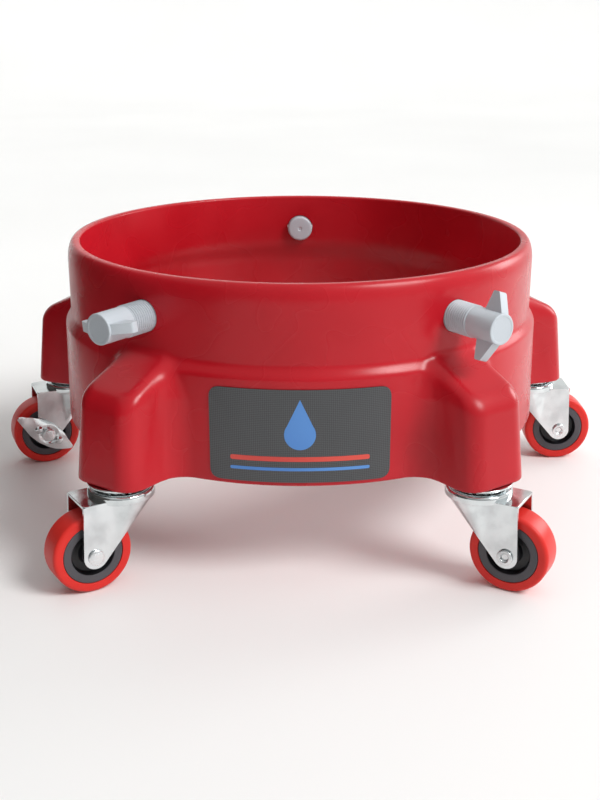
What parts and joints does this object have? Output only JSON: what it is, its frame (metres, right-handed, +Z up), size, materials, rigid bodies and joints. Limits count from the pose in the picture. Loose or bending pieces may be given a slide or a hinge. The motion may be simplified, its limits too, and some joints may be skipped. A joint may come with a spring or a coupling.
{
  "type": "bucket dolly",
  "caption": "Round moulded dolly ring on swivel casters, with wing screws that clamp a wash bucket standing inside it.",
  "frame": {"origin": "on the floor, under the middle of the dolly's whole box; the ring's axis is 25 mm in front of it, at x = 0, y = -0.025", "axes": "+Z up; -Y is the front, where the label is; +X is to the right seen from the front"},
  "size_m": [0.454, 0.4175, 0.1905],
  "materials": {
    "ring_plastic": "satin-gloss moulded polyethylene, red",
    "label_film": "printed film with a fine woven pattern",
    "tread_urethane": "smooth orange-red urethane",
    "hub_plastic": "dark grey moulded nylon",
    "bright_zinc": "bright zinc-plated pressed steel",
    "zinc_fixings": "zinc-plated rivets, bolts and nuts",
    "screw_plastic": "light grey moulded nylon"
  },
  "bodies": {
    "root": {"ring_shell": "ring_plastic", "front_label": "label_film", "front_left_upper_race": "bright_zinc", "front_left_kingpin_bolt": "zinc_fixings", "front_left_mounting_nut": "zinc_fixings", "front_right_upper_race": "bright_zinc", "front_right_kingpin_bolt": "zinc_fixings", "front_right_mounting_nut": "zinc_fixings", "rear_right_upper_race": "bright_zinc", "rear_right_kingpin_bolt": "zinc_fixings", "rear_right_mounting_nut": "zinc_fixings", "rear_upper_race": "bright_zinc", "rear_kingpin_bolt": "zinc_fixings", "rear_mounting_nut": "zinc_fixings", "rear_left_upper_race": "bright_zinc", "rear_left_kingpin_bolt": "zinc_fixings", "rear_left_mounting_nut": "zinc_fixings"},
    "front_left_caster": {"front_left_fork": "bright_zinc", "front_left_ball_ring": "bright_zinc", "front_left_axle": "zinc_fixings", "front_left_axle_sleeve": "zinc_fixings"},
    "front_left_wheel": {"front_left_wheel_hub": "hub_plastic", "front_left_wheel_tread": "tread_urethane"},
    "front_right_caster": {"front_right_fork": "bright_zinc", "front_right_ball_ring": "bright_zinc", "front_right_axle": "zinc_fixings", "front_right_axle_sleeve": "zinc_fixings"},
    "front_right_wheel": {"front_right_wheel_hub": "hub_plastic", "front_right_wheel_tread": "tread_urethane"},
    "rear_right_caster": {"rear_right_fork": "bright_zinc", "rear_right_ball_ring": "bright_zinc", "rear_right_axle": "zinc_fixings", "rear_right_axle_sleeve": "zinc_fixings"},
    "rear_right_wheel": {"rear_right_wheel_hub": "hub_plastic", "rear_right_wheel_tread": "tread_urethane"},
    "rear_right_brake": {"rear_right_brake_lever": "bright_zinc"},
    "rear_caster": {"rear_fork": "bright_zinc", "rear_ball_ring": "bright_zinc", "rear_axle": "zinc_fixings", "rear_axle_sleeve": "zinc_fixings"},
    "rear_wheel": {"rear_wheel_hub": "hub_plastic", "rear_wheel_tread": "tread_urethane"},
    "rear_left_caster": {"rear_left_fork": "bright_zinc", "rear_left_ball_ring": "bright_zinc", "rear_left_axle": "zinc_fixings", "rear_left_axle_sleeve": "zinc_fixings"},
    "rear_left_wheel": {"rear_left_wheel_hub": "hub_plastic", "rear_left_wheel_tread": "tread_urethane"},
    "rear_left_brake": {"rear_left_brake_lever": "bright_zinc"},
    "left_clamp": {"left_clamp_pad": "screw_plastic"},
    "left_screw": {"left_wing_screw": "screw_plastic"},
    "right_clamp": {"right_clamp_pad": "screw_plastic"},
    "right_screw": {"right_wing_screw": "screw_plastic"},
    "rear_clamp": {"rear_clamp_pad": "screw_plastic"},
    "rear_screw": {"rear_wing_screw": "screw_plastic"}
  },
  "joints": [
    {"name": "front_left_swivel", "type": "hinge", "parent": "root", "child": "front_left_caster", "pos_m": [-0.11021, -0.17669, 0.0615], "axis": [0, 0, 1], "continuous": true},
    {"name": "front_left_wheel_spin", "type": "hinge", "parent": "front_left_caster", "child": "front_left_wheel", "pos_m": [-0.13078, -0.18905, 0.0254], "axis": [0.515, -0.8572, 0], "continuous": true},
    {"name": "front_right_swivel", "type": "hinge", "parent": "root", "child": "front_right_caster", "pos_m": [0.11021, -0.17669, 0.0615], "axis": [0, 0, 1], "continuous": true},
    {"name": "front_right_wheel_spin", "type": "hinge", "parent": "front_right_caster", "child": "front_right_wheel", "pos_m": [0.1312, -0.18833, 0.0254], "axis": [0.4848, 0.8746, 0], "continuous": true},
    {"name": "rear_right_swivel", "type": "hinge", "parent": "root", "child": "rear_right_caster", "pos_m": [0.17832, 0.03294, 0.0615], "axis": [0, 0, 1], "continuous": true},
    {"name": "rear_right_wheel_spin", "type": "hinge", "parent": "rear_right_caster", "child": "rear_right_wheel", "pos_m": [0.20232, 0.03336, 0.0254], "axis": [-0.0175, 0.9998, 0], "continuous": true},
    {"name": "rear_right_brake_rock", "type": "hinge", "parent": "rear_right_caster", "child": "rear_right_brake", "pos_m": [0.20232, 0.03336, 0.0254], "axis": [0.0175, -0.9998, 0], "range_deg": [-25, 0]},
    {"name": "rear_swivel", "type": "hinge", "parent": "root", "child": "rear_caster", "pos_m": [0, 0.1625, 0.0615], "axis": [0, 0, 1], "continuous": true},
    {"name": "rear_wheel_spin", "type": "hinge", "parent": "rear_caster", "child": "rear_wheel", "pos_m": [-0.01127, 0.18369, 0.0254], "axis": [-0.8829, -0.4695, 0], "continuous": true},
    {"name": "rear_left_swivel", "type": "hinge", "parent": "root", "child": "rear_left_caster", "pos_m": [-0.17832, 0.03294, 0.0615], "axis": [0, 0, 1], "continuous": true},
    {"name": "rear_left_wheel_spin", "type": "hinge", "parent": "rear_left_caster", "child": "rear_left_wheel", "pos_m": [-0.20058, 0.02395, 0.0254], "axis": [0.3746, -0.9272, 0], "continuous": true},
    {"name": "rear_left_brake_rock", "type": "hinge", "parent": "rear_left_caster", "child": "rear_left_brake", "pos_m": [-0.20058, 0.02395, 0.0254], "axis": [-0.3746, 0.9272, 0], "range_deg": [0, 25]},
    {"name": "left_clamp_slide", "type": "slide", "parent": "root", "child": "left_clamp", "axis": [0.5878, 0.809, 0], "range_m": [-0.0005, 0.0175]},
    {"name": "left_screw_turn", "type": "hinge", "parent": "left_clamp", "child": "left_screw", "pos_m": [-0.09992, -0.16253, 0.1645], "axis": [0.5878, 0.809, 0], "range_deg": [-99.9, 3499.9]},
    {"name": "right_clamp_slide", "type": "slide", "parent": "root", "child": "right_clamp", "axis": [-0.5878, 0.809, 0], "range_m": [-0.0005, 0.0175]},
    {"name": "right_screw_turn", "type": "hinge", "parent": "right_clamp", "child": "right_screw", "pos_m": [0.09992, -0.16253, 0.1645], "axis": [-0.5878, 0.809, 0], "range_deg": [-99.9, 3499.9]},
    {"name": "rear_clamp_slide", "type": "slide", "parent": "root", "child": "rear_clamp", "axis": [0, -1, 0], "range_m": [-0.0005, 0.0175]},
    {"name": "rear_screw_turn", "type": "hinge", "parent": "rear_clamp", "child": "rear_screw", "pos_m": [0, 0.145, 0.1645], "axis": [0, -1, 0], "range_deg": [-99.9, 3499.9]}
  ],
  "couplings": [
    {"joint": "left_clamp_slide", "follows": "left_screw_turn", "m_per_rad": 0.00028648},
    {"joint": "right_clamp_slide", "follows": "right_screw_turn", "m_per_rad": 0.00028648},
    {"joint": "rear_clamp_slide", "follows": "rear_screw_turn", "m_per_rad": 0.00028648}
  ]
}
